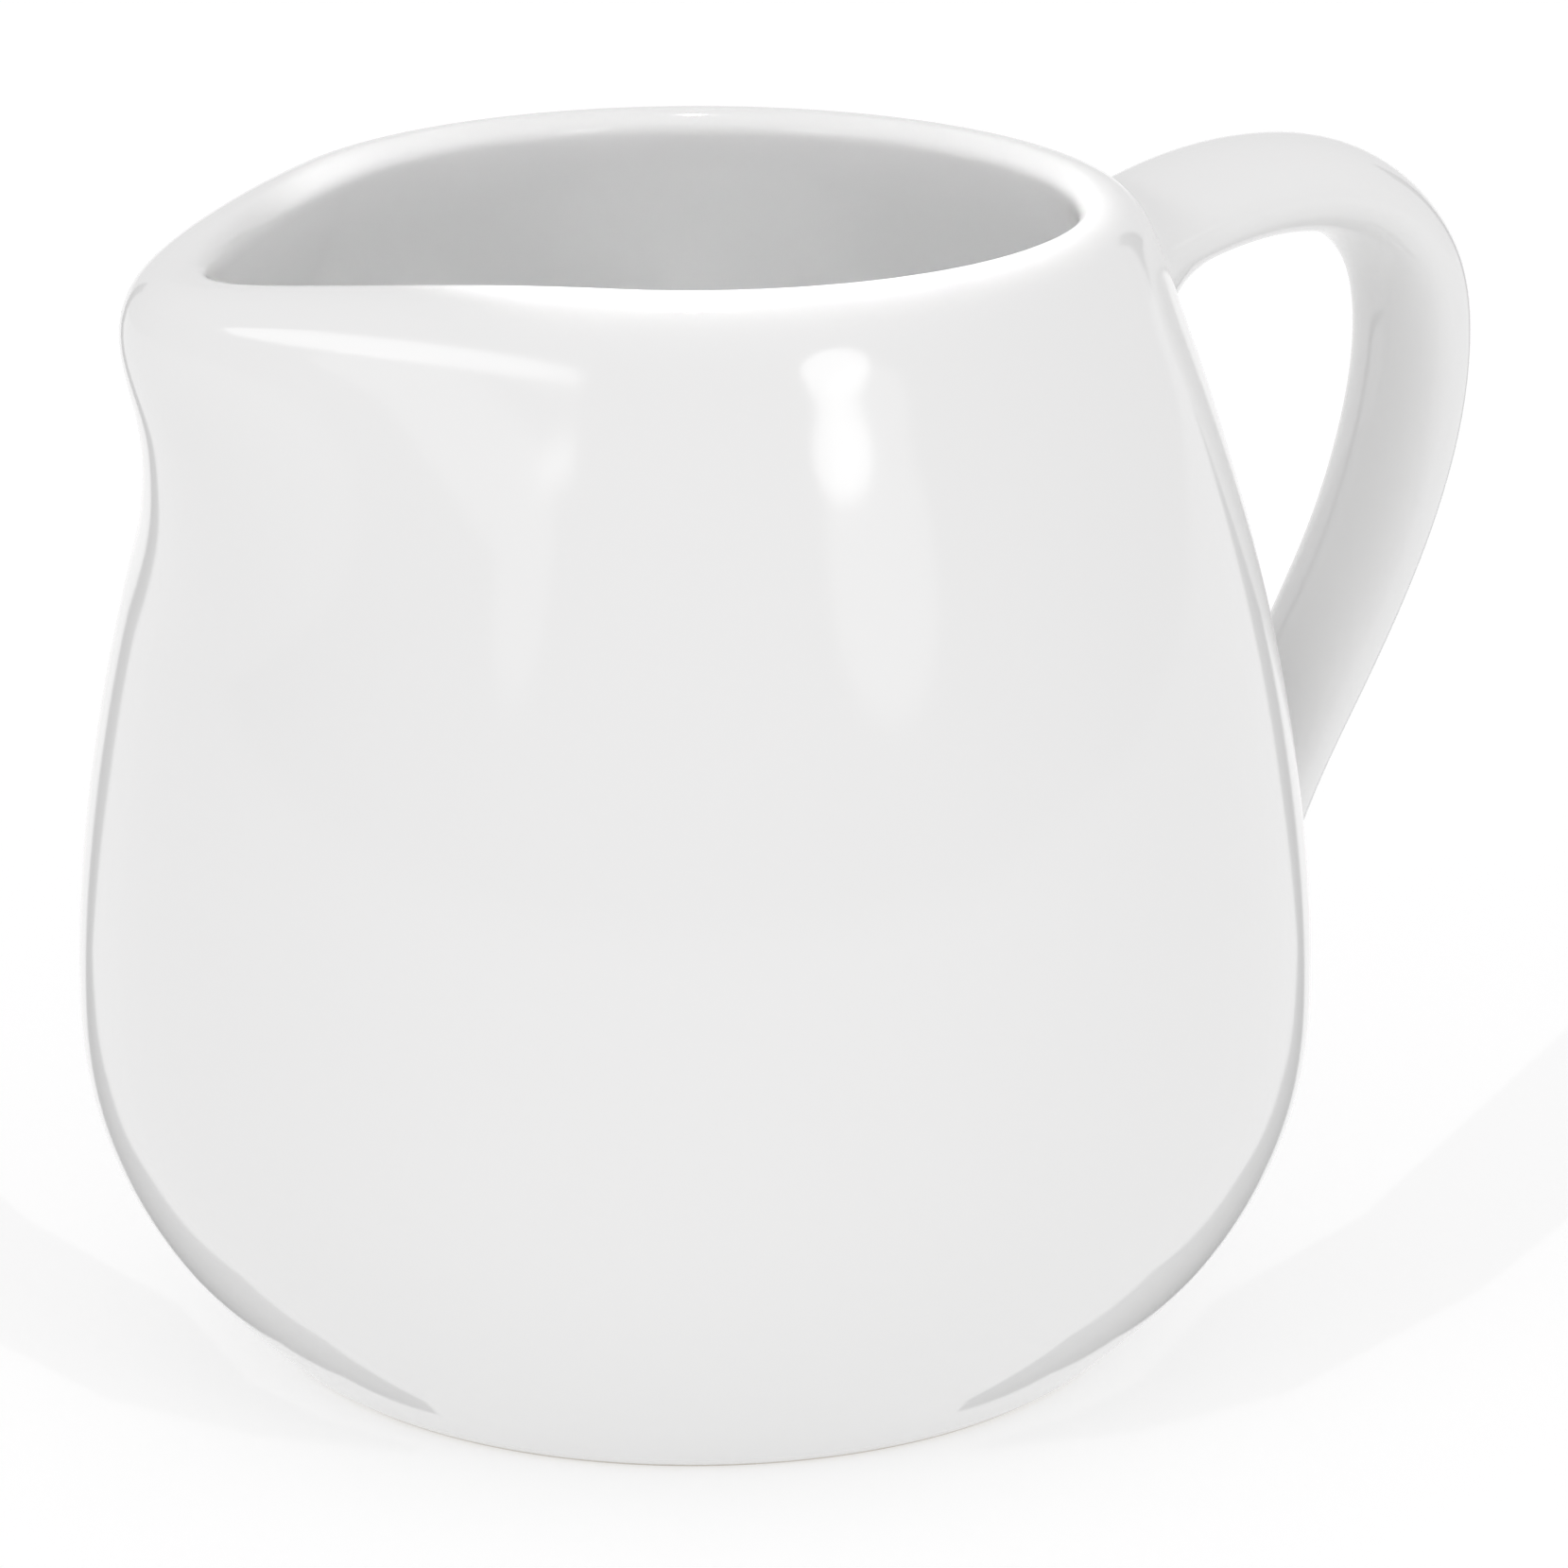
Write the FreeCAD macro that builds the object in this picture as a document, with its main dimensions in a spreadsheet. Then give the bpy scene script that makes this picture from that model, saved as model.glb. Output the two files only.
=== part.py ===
"""Small ceramic pitcher: a slip-cast vessel with a pulled spout, a strap handle luted on, and a foot.

Millimetres. The origin is at the centre of the face it stands on, +Z is up, +X points to the
handle and -X to the spout.
"""
import FreeCAD, Part
import math
import os
from FreeCAD import Placement, Rotation, Vector
import Sketcher

# name, size, what it is
SIZES = [
    ("belly_radius", 40.0, "outer radius at the widest level"),
    ("belly_height", 24.0, "height of the widest level"),
    ("base_radius", 27.4, "outer radius where the pitcher meets the table"),
    ("lower_curve", 2.4, "exponent of the curve from the belly down to the base"),
    ("rim_height", 75.3, "height of the crest of the lip"),
    ("crest_radius", 25.9, "radius of the crest of the lip"),
    ("lip_radius", 3.3, "radius of the roll on the outer side of the lip"),
    ("rim_lean", 22.0, "degrees that the wall leans inwards below the lip"),
    ("wall", 4.2, "thickness of the cast wall"),
    ("floor_height", 4.6, "height of the inside floor"),
    ("floor_radius", 20.0, "radius of the flat part of the inside floor"),
    ("foot_height", 0.9, "height of the foot ring"),
    ("foot_width", 3.2, "width of the foot ring where it stands"),
    ("foot_round", 0.3, "radius on both edges of the foot ring"),
    ("spout_reach", 39.1, "distance of the spout's furthest point from the axis"),
    ("spout_reach_height", 71.0, "height of the spout's furthest point"),
    ("spout_root_height", 50.0, "height where the spout leaves the wall"),
    ("spout_flare", 1.8, "exponent of the curve by which the spout flares out of the wall"),
    ("spout_flank", 52.0, "degrees from the spout's middle to where its flank leaves the round"),
    ("spout_dip", 1.4, "how far the spout's lip lies below the crest of the lip"),
    ("spout_channel", 0.9, "share of the spout's bulge that its inner face follows"),
    ("strap_width", 12.9, "width of the handle's strap at its top"),
    ("strap_thickness", 6.4, "thickness of the handle's strap at its top"),
    ("strap_end_width", 10.5, "width of the strap at its lower end"),
    ("strap_end_thickness", 5.6, "thickness of the strap at its lower end"),
    ("handle_reach", 13.9, "from the belly to the middle of the strap where it stands furthest out"),
    ("crown_drop", 3.8, "from the crest of the lip down to the top of the strap's middle line"),
    ("crown_rise", 3.6, "from the middle of the upper joint up to the top of the strap's middle line"),
    ("bend_radius", 10.4, "radius of the strap's middle line round its outer bend"),
    ("back_radius", 37.0, "radius of the strap's middle line below the bend"),
    ("heel_height", 23.5, "height of the middle of the lower joint"),
    ("heel_width", 12.4, "width of the strap's foot inside the wall"),
    ("heel_length", 11.6, "height of the strap's foot inside the wall"),
    ("heel_standoff", 2.6, "how far out from the belly the strap starts to turn into its foot"),
    ("heel_rise", 6.5, "how far above the joint's middle the strap starts to turn into its foot"),
    ("upper_slip", 1.5, "spread of the slip round the upper joint"),
    ("lower_slip", 2.0, "spread of the slip round the lower joint"),
]

RING_POINTS = 48  # points on each level of the vessel's skin
SEWING_GAP = 1e-6  # the most by which two edges in one place may differ
SEAM_TURN = math.pi / 2  # where each level starts, clear of the handle and the spout

doc = FreeCAD.newDocument("pitcher")
sheet = doc.addObject("Spreadsheet::Sheet", "dims")
for row, (alias, size, meaning) in enumerate(SIZES, start=1):
    sheet.set(f"A{row}", str(size))
    sheet.setAlias(f"A{row}", alias)
    sheet.set(f"B{row}", meaning)
doc.recompute()


def dim(name):
    return float(getattr(sheet, name))


def polar(middle, radius, degrees):
    """The point at this angle on a circle in the (radius, height) plane."""
    turn = math.radians(degrees)
    return middle[0] + radius * math.cos(turn), middle[1] + radius * math.sin(turn)


def shoulder():
    """Where the wall turns into the roll of the lip, as (radius, height)."""
    middle = (dim("crest_radius"), dim("rim_height") - dim("lip_radius"))
    return polar(middle, dim("lip_radius"), dim("rim_lean"))


def upper_curve():
    """The exponent that gives the wall its lean at the shoulder."""
    radius, height = shoulder()
    rise = height - dim("belly_height")
    return math.tan(math.radians(dim("rim_lean"))) * rise / (dim("belly_radius") - radius)


def wall_radius(height):
    """The outer radius of the round wall at this height."""
    belly, level = dim("belly_radius"), dim("belly_height")
    if height <= level:
        return belly - (belly - dim("base_radius")) * ((level - height) / level) ** dim("lower_curve")
    top_radius, top = shoulder()
    return belly - (belly - top_radius) * ((height - level) / (top - level)) ** upper_curve()


def wall_lean(height):
    """The angle by which the wall leans inwards at this height, in radians."""
    step = 0.01
    return math.atan((wall_radius(height - step) - wall_radius(height + step)) / (2 * step))


def ease(share):
    """A smooth step from 0 to 1."""
    share = min(max(share, 0.0), 1.0)
    return share * share * (3 - 2 * share)


def spout_bulge(height):
    """How far the spout stands out of the round wall at this height."""
    top = dim("spout_reach_height")
    root = dim("spout_root_height")
    share = min(max((height - root) / (top - root), 0.0), 1.0)
    return (dim("spout_reach") - wall_radius(top)) * share ** dim("spout_flare")


def spout_dip(height):
    """How far the spout's middle lies below the round at this height."""
    root = dim("spout_root_height")
    return dim("spout_dip") * ease((height - root) / (dim("rim_height") - root))


def level_curve(round_radius, bulge, height, dip):
    """One level of the skin: a round with straight flanks that meet in a blunt nose at the spout."""
    reach = round_radius + bulge
    flank = math.radians(dim("spout_flank"))
    nose = flank - math.acos(round_radius / reach)
    points = []
    for step in range(RING_POINTS):
        turn = SEAM_TURN + 2 * math.pi * step / RING_POINTS
        off_spout = math.remainder(turn - math.pi, 2 * math.pi)
        radius = round_radius / math.cos(max(0.0, flank - math.hypot(off_spout, nose)))
        share = (radius - round_radius) / bulge if bulge else 0.0
        points.append(Vector(radius * math.cos(turn), radius * math.sin(turn), height - dip * share))
    curve = Part.BSplineCurve()
    knots = [step / RING_POINTS for step in range(RING_POINTS + 1)]
    curve.interpolate(Points=points, PeriodicFlag=True, Parameters=knots)
    return curve


def wall_heights():
    """The levels of the outer wall from the foot to the shoulder."""
    foot, belly, root = dim("foot_height"), dim("belly_height"), dim("spout_root_height")
    top = shoulder()[1]
    lower = [belly - (belly - foot) * (1 - step / 5) ** 1.3 for step in range(5)]
    middle = [belly + (root - belly) * step / 4 for step in range(4)]
    upper = [root + (top - root) * step / 5 for step in range(6)]
    return lower + middle + upper


def vessel_levels():
    """Every level of the skin, up the outside, over the lip and down the inside to the floor."""
    levels = [(wall_radius(z), spout_bulge(z), z, spout_dip(z)) for z in wall_heights()]
    crest, rim, lean = dim("crest_radius"), dim("rim_height"), dim("rim_lean")
    top_bulge, top_dip = spout_bulge(rim), dim("spout_dip")
    for degrees in (45, 68, 90):
        radius, height = polar((crest, rim - dim("lip_radius")), dim("lip_radius"), degrees)
        levels.append((radius, top_bulge, height, top_dip))
    # the inner roll is as large as the wall's thickness leaves it
    slant = math.sin(math.radians(lean))
    inner = (dim("wall") - dim("lip_radius") * (1 - slant)) / (1 + slant)
    for degrees in (125, 160, 180 + lean):
        radius, height = polar((crest, rim - inner), inner, degrees)
        levels.append((radius, top_bulge * dim("spout_channel"), height, top_dip))
    for height in reversed(wall_heights()[1:-1]):
        lean_here = wall_lean(height)
        radius = wall_radius(height) - dim("wall") * math.cos(lean_here)
        bulge = spout_bulge(height) * dim("spout_channel")
        levels.append((radius, bulge, height - dim("wall") * math.sin(lean_here), spout_dip(height)))
    levels.append((dim("floor_radius"), 0.0, dim("floor_height"), 0.0))
    return levels


def skin(curves, seams):
    """The smooth surface through closed curves with the same knots, as one face between each two seams."""
    poles = [curve.getPoles() for curve in curves]
    along = [0.0]
    for lower, upper in zip(poles, poles[1:]):
        steps = [start.distanceToPoint(end) for start, end in zip(lower, upper)]
        along.append(along[-1] + sum(steps) / len(steps))
    ribs = []
    for column in zip(*poles):
        rib = Part.BSplineCurve()
        rib.interpolate(Points=list(column), Parameters=along)
        ribs.append(rib)
    around, rib = curves[0], ribs[0]
    faces = []
    for start, end in zip(seams, seams[1:]):
        band = Part.BSplineSurface()
        band.buildFromPolesMultsKnots(
            [rib.getPoles() for rib in ribs], around.getMultiplicities(), rib.getMultiplicities(),
            around.getKnots(), rib.getKnots(), True, False, around.Degree, rib.Degree)
        band.segment(0.0, 1.0, along[start], along[end])
        faces.append(band.toShape())
    return faces


def disc(face, height):
    """The flat face inside this face's edge at this height."""
    rings = [edge for edge in face.Edges if abs(edge.BoundBox.Center.z - height) < SEWING_GAP]
    return Part.Face(Part.Wire(rings[:1]))


def make_body():
    """The cast vessel: one skin through its levels, closed by the base and the floor."""
    body = doc.addObject("Part::Feature", "body")
    body.Label = "body"
    levels = vessel_levels()
    outside, inside = len(wall_heights()), len(levels) - len(wall_heights())
    seams = [0, outside - 6, outside - 1, inside, inside + 5, len(levels) - 1]
    sides = skin([level_curve(*level) for level in levels], seams)
    ends = [disc(sides[0], dim("foot_height")), disc(sides[-1], dim("floor_height"))]
    shell = Part.Compound(sides + ends)
    shell.sewShape()
    body.Shape = Part.Solid(shell)
    body.Placement = Placement(Vector(0, 0, 0), Rotation())
    return body


def crown():
    """The arc of the strap's middle line from inside the wall to its top: top, radius and turn."""
    top_x = dim("belly_radius") + dim("handle_reach") - dim("bend_radius")
    top_z = dim("rim_height") - dim("crown_drop")
    rise = dim("crown_rise")
    run = top_x - (wall_radius(top_z - rise) - dim("wall") / 2)
    return top_x, top_z, (run * run + rise * rise) / (2 * rise), 2 * math.atan(rise / run)


def crown_station(turn):
    """A place on the strap between the rim and its top, at this slope above level."""
    top_x, top_z, radius, _ = crown()
    return top_x - radius * math.sin(turn), top_z - radius * (1 - math.cos(turn)), turn


def strap_run():
    """The strap's middle line as (x, z, angle of travel above +X in radians), from rim to heel."""
    out_x = dim("belly_radius") + dim("handle_reach")
    bend, back = dim("bend_radius"), dim("back_radius")
    top_x, top_z, _, start = crown()
    stations = [crown_station(start), crown_station(start / 2)]
    for step in range(5):
        turn = math.pi / 2 * step / 4
        stations.append((top_x + bend * math.sin(turn), top_z - bend * (1 - math.cos(turn)), -turn))
    # a long arc, then a straight run that is tangent to it and ends at the heel
    heel_x = dim("belly_radius") + dim("heel_standoff")
    heel_z = dim("heel_height") + dim("heel_rise")
    arc_x, arc_z = out_x - back, top_z - bend
    far = math.hypot(heel_x - arc_x, arc_z - heel_z)
    lean = math.atan2(arc_z - heel_z, heel_x - arc_x) - math.acos(back / far)
    for turn in (lean / 2, lean):
        x = arc_x + back * math.cos(turn)
        stations.append((x, arc_z - back * math.sin(turn), -math.pi / 2 - turn))
    end_x, end_z, travel = stations[-1]
    stations.append(((end_x + heel_x) / 2, (end_z + heel_z) / 2, travel))
    stations.append((heel_x, heel_z, travel))
    return stations


def heel_station():
    """Where the strap ends, upright in the middle of the belly's wall."""
    return dim("belly_radius") - dim("wall") / 2, dim("heel_height"), -math.pi


def strap_section(name, station, width, thickness, shift=0.0):
    """An ellipse square to the strap's middle line, its long axis across the strap.

    A shift moves it off that line, towards the finger gap.
    """
    x, z, travel = station
    section = doc.addObject("Part::Ellipse", name)
    section.setExpression("MajorRadius", f"({width}) / 2")
    section.setExpression("MinorRadius", f"({thickness}) / 2")
    along = Vector(math.cos(travel), 0, math.sin(travel))
    across = Vector(0, 1, 0)
    upper_face = along.cross(across)
    middle = Vector(x, 0, z) - upper_face * shift
    section.Placement = Placement(middle, Rotation(across, upper_face, along))
    return section


def between(first, last, share):
    """The formula for a size this share of the way from the first named size to the last."""
    return f"dims.{first} + (dims.{last} - dims.{first}) * {share}"


def loft(name, sections):
    solid = doc.addObject("Part::Loft", name)
    solid.Sections = sections
    solid.Solid = True
    return solid


def cut(name, base, tool):
    rest = doc.addObject("Part::Cut", name)
    rest.Label = name
    rest.Base = base
    rest.Tool = tool
    return rest


def make_handle(body):
    """The pressed strap: ellipses lofted along its middle line, cut to the wall that it lies on."""
    sections = []
    run = strap_run()
    for number, station in enumerate(run):
        share = number / (len(run) - 1)
        width = between("strap_width", "strap_end_width", share)
        thickness = between("strap_thickness", "strap_end_thickness", share)
        sections.append(strap_section(f"strap_section_{number}", station, width, thickness))
    sections.append(strap_section("heel_section", heel_station(), "dims.heel_width", "dims.heel_length"))
    strap = loft("strap", sections)
    return strap, cut("handle", strap, body)


def make_upper_joint(body, strap):
    """The slip worked into the corner between the strap and the wall below the lip."""
    sections = []
    radius, start = crown()[2:]
    # from the middle of the wall out along the strap, where the slip feathers out into it
    for number, (out, grow) in enumerate(((0, 1.6), (0.1, 1.0), (0.7, 0.4), (1.5, 0.1), (2.5, -0.2))):
        along = out * dim("upper_slip") + (dim("wall") / 2 if out else 0)
        station = crown_station(start - along / radius)
        extra = f" + 2 * {grow} * dims.upper_slip"
        sections.append(strap_section(f"upper_slip_section_{number}", station,
                                      "dims.strap_width" + extra, "dims.strap_thickness" + extra))
    round_strap = cut("upper_slip_round_strap", loft("upper_slip_loft", sections), strap)
    return cut("upper_slip_joint", round_strap, body)


def make_lower_joint(body, strap):
    """The slip worked into the corner between the strap's foot and the belly."""
    run, slip = strap_run(), dim("lower_slip")
    end = "dims.strap_end_{} {} * dims.lower_slip"
    sections = [
        strap_section("lower_slip_section_0", run[-2], end.format("width", "- 0.2"),
                      end.format("thickness", "- 0.2")),
        # the slip fills the narrow corner above the joint and stays off the strap's outer face
        strap_section("lower_slip_section_1", run[-1], end.format("width", "+ 0.8"),
                      end.format("thickness", "+ 0.7"), 0.35 * slip),
        strap_section("lower_slip_section_2", heel_station(), "dims.heel_width + 2.0 * dims.lower_slip",
                      "dims.heel_length + 1.8 * dims.lower_slip"),
    ]
    round_strap = cut("lower_slip_round_strap", loft("lower_slip_loft", sections), strap)
    return cut("lower_slip_joint", round_strap, body)


def edge_numbers(shape, belongs):
    """The numbers, from 1, of the edges that satisfy the test."""
    return [i for i, edge in enumerate(shape.Edges, start=1) if belongs(edge)]


def make_foot_ring():
    """The ring that the pitcher stands on: its outer side carries on the curve of the wall."""
    foot = doc.addObject("PartDesign::Body", "foot_ring")
    foot.Label = "foot_ring"
    planes = {plane.Role: plane for plane in foot.Origin.OriginFeatures}
    sketch = foot.newObject("Sketcher::SketchObject", "foot_outline")
    sketch.AttachmentSupport = [(planes["XZ_Plane"], "")]
    sketch.MapMode = "FlatFace"
    outer, height = dim("base_radius"), dim("foot_height")
    inner, top = outer - dim("foot_width"), wall_radius(height)
    corners = [Vector(inner, 0, 0), Vector(outer, 0, 0), Vector(top, height, 0), Vector(inner, height, 0)]
    for start, end in zip(corners, corners[1:] + corners[:1]):
        sketch.addGeometry(Part.LineSegment(start, end), False)
    for line in range(4):
        sketch.addConstraint(Sketcher.Constraint("Coincident", line, 2, (line + 1) % 4, 1))
    sketch.addConstraint(Sketcher.Constraint("Horizontal", 0))
    sketch.addConstraint(Sketcher.Constraint("Horizontal", 2))
    sketch.addConstraint(Sketcher.Constraint("Vertical", 3))
    sketch.addConstraint(Sketcher.Constraint("PointOnObject", 0, 1, -1))
    sizes = [
        (Sketcher.Constraint("DistanceX", -1, 1, 0, 2, outer), "dims.base_radius"),
        (Sketcher.Constraint("DistanceX", 0, 1, 0, 2, outer - inner), "dims.foot_width"),
        (Sketcher.Constraint("DistanceY", -1, 1, 2, 1, height), "dims.foot_height"),
        (Sketcher.Constraint("DistanceX", -1, 1, 2, 1, top),
         "dims.belly_radius - (dims.belly_radius - dims.base_radius)"
         " * ((dims.belly_height - dims.foot_height) / dims.belly_height) ^ dims.lower_curve"),
    ]
    for constraint, formula in sizes:
        number = sketch.addConstraint(constraint)
        sketch.setExpression(f"Constraints[{number}]", formula)
    turned = foot.newObject("PartDesign::Revolution", "foot_turned")
    turned.Profile = sketch
    turned.ReferenceAxis = (sketch, ["V_Axis"])
    turned.Angle = 360.0
    doc.recompute()
    soft = foot.newObject("PartDesign::Fillet", "foot_edges")
    lowest = edge_numbers(turned.Shape, lambda edge: edge.BoundBox.ZMax < height / 2)
    soft.Base = (turned, [f"Edge{number}" for number in lowest])
    soft.setExpression("Radius", "dims.foot_round")
    return foot


body = make_body()
strap, handle = make_handle(body)
doc.recompute()
upper_joint = make_upper_joint(body, strap)
lower_joint = make_lower_joint(body, strap)
foot_ring = make_foot_ring()
doc.recompute()

for item in doc.Objects:
    if "Invalid" in item.State or "Error" in item.State:
        raise RuntimeError(f"{item.Name} did not compute: {item.State}")

os.makedirs("parts", exist_ok=True)
for piece in (body, handle, upper_joint, lower_joint, foot_ring):
    if piece.Shape.isNull() or not piece.Shape.isValid():
        raise RuntimeError(f"{piece.Label} has no valid shape")
    piece.Shape.exportStep(os.path.join("parts", piece.Label + ".step"))
    print(piece.Label, [round(solid.Volume, 2) for solid in piece.Shape.Solids])
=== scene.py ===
"""A small white ceramic pitcher: glazed body with a pulled spout, strap handle and foot, on a pale floor."""
import math

import bmesh
import bpy
import numpy as np
from mathutils import Matrix, Vector


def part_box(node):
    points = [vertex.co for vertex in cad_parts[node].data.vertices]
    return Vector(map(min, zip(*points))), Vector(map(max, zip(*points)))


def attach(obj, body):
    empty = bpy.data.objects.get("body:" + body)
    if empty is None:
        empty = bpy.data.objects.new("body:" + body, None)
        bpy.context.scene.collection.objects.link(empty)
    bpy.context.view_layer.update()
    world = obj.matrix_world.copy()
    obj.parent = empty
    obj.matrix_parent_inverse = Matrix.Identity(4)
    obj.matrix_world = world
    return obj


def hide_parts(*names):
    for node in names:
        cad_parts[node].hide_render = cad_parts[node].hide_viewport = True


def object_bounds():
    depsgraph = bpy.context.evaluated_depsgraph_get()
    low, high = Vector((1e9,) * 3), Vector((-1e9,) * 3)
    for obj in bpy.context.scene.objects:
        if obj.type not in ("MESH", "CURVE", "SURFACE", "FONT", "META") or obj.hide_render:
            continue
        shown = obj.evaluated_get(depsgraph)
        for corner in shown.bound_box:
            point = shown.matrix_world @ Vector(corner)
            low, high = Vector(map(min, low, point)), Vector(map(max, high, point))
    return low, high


bl_info = {
    "name": "Small ceramic pitcher",
    "version": (1, 0, 0),
    "blender": (4, 5, 0),
    "location": "View3D > Sidebar > Pitcher",
    "description": "Builds a glazed pitcher round its solid parts, with a plain studio",
    "category": "Add Mesh",
}

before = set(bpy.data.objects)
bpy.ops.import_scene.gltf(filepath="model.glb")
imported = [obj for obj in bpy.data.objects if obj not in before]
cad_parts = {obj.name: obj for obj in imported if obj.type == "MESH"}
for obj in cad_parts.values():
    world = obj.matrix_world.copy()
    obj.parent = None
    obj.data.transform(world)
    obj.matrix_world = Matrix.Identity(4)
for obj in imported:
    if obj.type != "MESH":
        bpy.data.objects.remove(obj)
CAD_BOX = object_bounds()
BODY_LOW, BODY_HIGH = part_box("body")

MM = 0.001


# ---------------------------------------------------------------------------- sizes and colours

def length(name, description, default):
    return bpy.props.FloatProperty(name=name, description=description, default=default,
                                   unit="LENGTH", subtype="DISTANCE", precision=5)


def angle(name, description, degrees):
    return bpy.props.FloatProperty(name=name, description=description, default=math.radians(degrees),
                                   unit="ROTATION", subtype="ANGLE")


def plain(name, description, default):
    return bpy.props.FloatProperty(name=name, description=description, default=default)


def colour(name, description, default):
    return bpy.props.FloatVectorProperty(name=name, description=description, default=default,
                                         size=3, min=0.0, max=1.0, subtype="COLOR")


class VesselSizes(bpy.types.PropertyGroup):
    belly_radius: length("Belly radius", "Outer radius at the widest level", BODY_HIGH.y)
    belly_height: length("Belly height", "Height of the widest level", 24 * MM)
    foot_radius: length("Foot radius", "Outer radius where the pitcher stands", 27.4 * MM)
    foot_height: length("Foot height", "Height of the foot ring", BODY_LOW.z)
    foot_width: length("Foot width", "Width of the foot ring where it stands", 3.2 * MM)
    foot_round: length("Foot edge", "Radius on the edges of the foot ring", 0.3 * MM)
    lower_curve: plain("Lower curve", "Exponent of the curve from the belly to the base", 2.4)
    rim_height: length("Rim height", "Height of the crest of the lip", 75.3 * MM)
    crest_radius: length("Crest radius", "Radius of the crest of the lip", 25.9 * MM)
    lip_radius: length("Lip radius", "Radius of the roll outside the lip", 3.3 * MM)
    rim_lean: angle("Rim lean", "Lean of the wall below the lip", 22)
    wall: length("Wall", "Thickness of the wall", 4.2 * MM)
    floor_height: length("Floor height", "Height of the inside floor", 4.6 * MM)
    floor_radius: length("Floor radius", "Radius of the flat inside floor", 20 * MM)
    spout_reach: length("Spout reach", "Distance of the spout from the axis", 39.1 * MM)
    spout_reach_height: length("Spout reach height", "Height of the spout's furthest point", 71 * MM)
    spout_root: length("Spout root", "Height where the spout leaves the wall", 50 * MM)
    spout_flare: plain("Spout flare", "Exponent of the spout's flare out of the wall", 1.8)
    spout_flank: angle("Spout flank", "Angle over which each flank of the spout spreads", 52)
    spout_dip: length("Spout dip", "Fall of the lip at the spout", 1.4 * MM)
    spout_channel: plain("Spout channel", "Share of the spout's bulge on its inner face", 0.9)


class HandleSizes(bpy.types.PropertyGroup):
    width: length("Width", "Width of the strap at its top", 12.9 * MM)
    thickness: length("Thickness", "Thickness of the strap at its top", 6.4 * MM)
    end_width: length("End width", "Width of the strap at its lower end", 10.5 * MM)
    end_thickness: length("End thickness", "Thickness of the strap at its lower end", 5.6 * MM)
    reach: length("Reach", "From the belly to the middle of the strap's outer bend", 13.9 * MM)
    crown_drop: length("Crown drop", "From the crest of the lip down to the strap's middle line", 3.8 * MM)
    crown_rise: length("Crown rise", "From the upper joint up to the strap's middle line", 3.6 * MM)
    bend_radius: length("Bend radius", "Radius of the outer bend", 10.4 * MM)
    back_radius: length("Back radius", "Radius of the strap below the bend", 37 * MM)
    heel_height: length("Heel height", "Height of the middle of the lower joint", 23.5 * MM)
    heel_width: length("Heel width", "Width of the strap's foot inside the wall", 12.4 * MM)
    heel_length: length("Heel length", "Height of the strap's foot inside the wall", 11.6 * MM)
    heel_standoff: length("Heel standoff", "How far out the strap starts to turn into its foot", 2.6 * MM)
    heel_rise: length("Heel rise", "How far up the strap starts to turn into its foot", 6.5 * MM)
    upper_slip: length("Upper slip", "Radius of the slip round the upper joint", 1.9 * MM)
    root_slip: length("Root slip", "Radius of the slip under the strap at the upper joint", 7 * MM)
    lower_slip: length("Lower slip", "Radius of the slip round the lower joint", 1.5 * MM)


class GlazeLook(bpy.types.PropertyGroup):
    glaze: colour("Glaze", "Colour of the glaze", (0.80, 0.80, 0.797))
    speck: colour("Speck", "Colour of the iron specks under the glaze", (0.30, 0.27, 0.24))
    biscuit: colour("Biscuit", "Colour of the bare fired clay", (0.66, 0.63, 0.58))
    gloss: plain("Roughness", "Roughness of the glaze", 0.10)
    speck_size: length("Speck size", "Radius of the largest speck", 0.16 * MM)


class StudioLook(bpy.types.PropertyGroup):
    floor: colour("Floor", "Colour of the floor", (0.5, 0.5, 0.5))
    floor_glow: plain("Floor glow", "Light that the floor gives by itself", 0.50)
    zenith: plain("Zenith", "Brightness of the room overhead", 1.0)
    horizon: plain("Horizon", "Brightness of the room at eye level", 0.82)
    # brightness of the painted shadow cards, seen only in the glaze as dark strips where the pitcher's
    # shadow on the floor is reflected
    flag: plain("Flag", "Brightness of the grey cards beside the pitcher", 0.28)
    view_turn: angle("View turn", "Turn of the camera round the pitcher", -27)
    view_rise: angle("View rise", "How far above level the camera looks from", 17.3)
    view_distance: length("View distance", "From the camera to the middle of the pitcher", 0.48)
    lens: plain("Lens", "Focal length in millimetres", 170.5)


# ---------------------------------------------------------------------------- shader nodes

class Socket:
    """An output socket, with Python's operators for Math nodes."""

    def __init__(self, tree, socket):
        self.tree, self.socket = tree, socket

    def math(self, operation, *values):
        return self.tree.node("ShaderNodeMath", {"operation": operation}, *values)

    def __add__(self, other):
        return self.math("ADD", self, other)

    def __mul__(self, other):
        return self.math("MULTIPLY", self, other)

    def __truediv__(self, other):
        return self.math("DIVIDE", self, other)

    def __rsub__(self, other):
        return self.math("SUBTRACT", other, self)

    def __lt__(self, other):
        return self.math("LESS_THAN", self, other)

    def out(self, name):
        return Socket(self.tree, self.socket.node.outputs[name])


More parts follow.
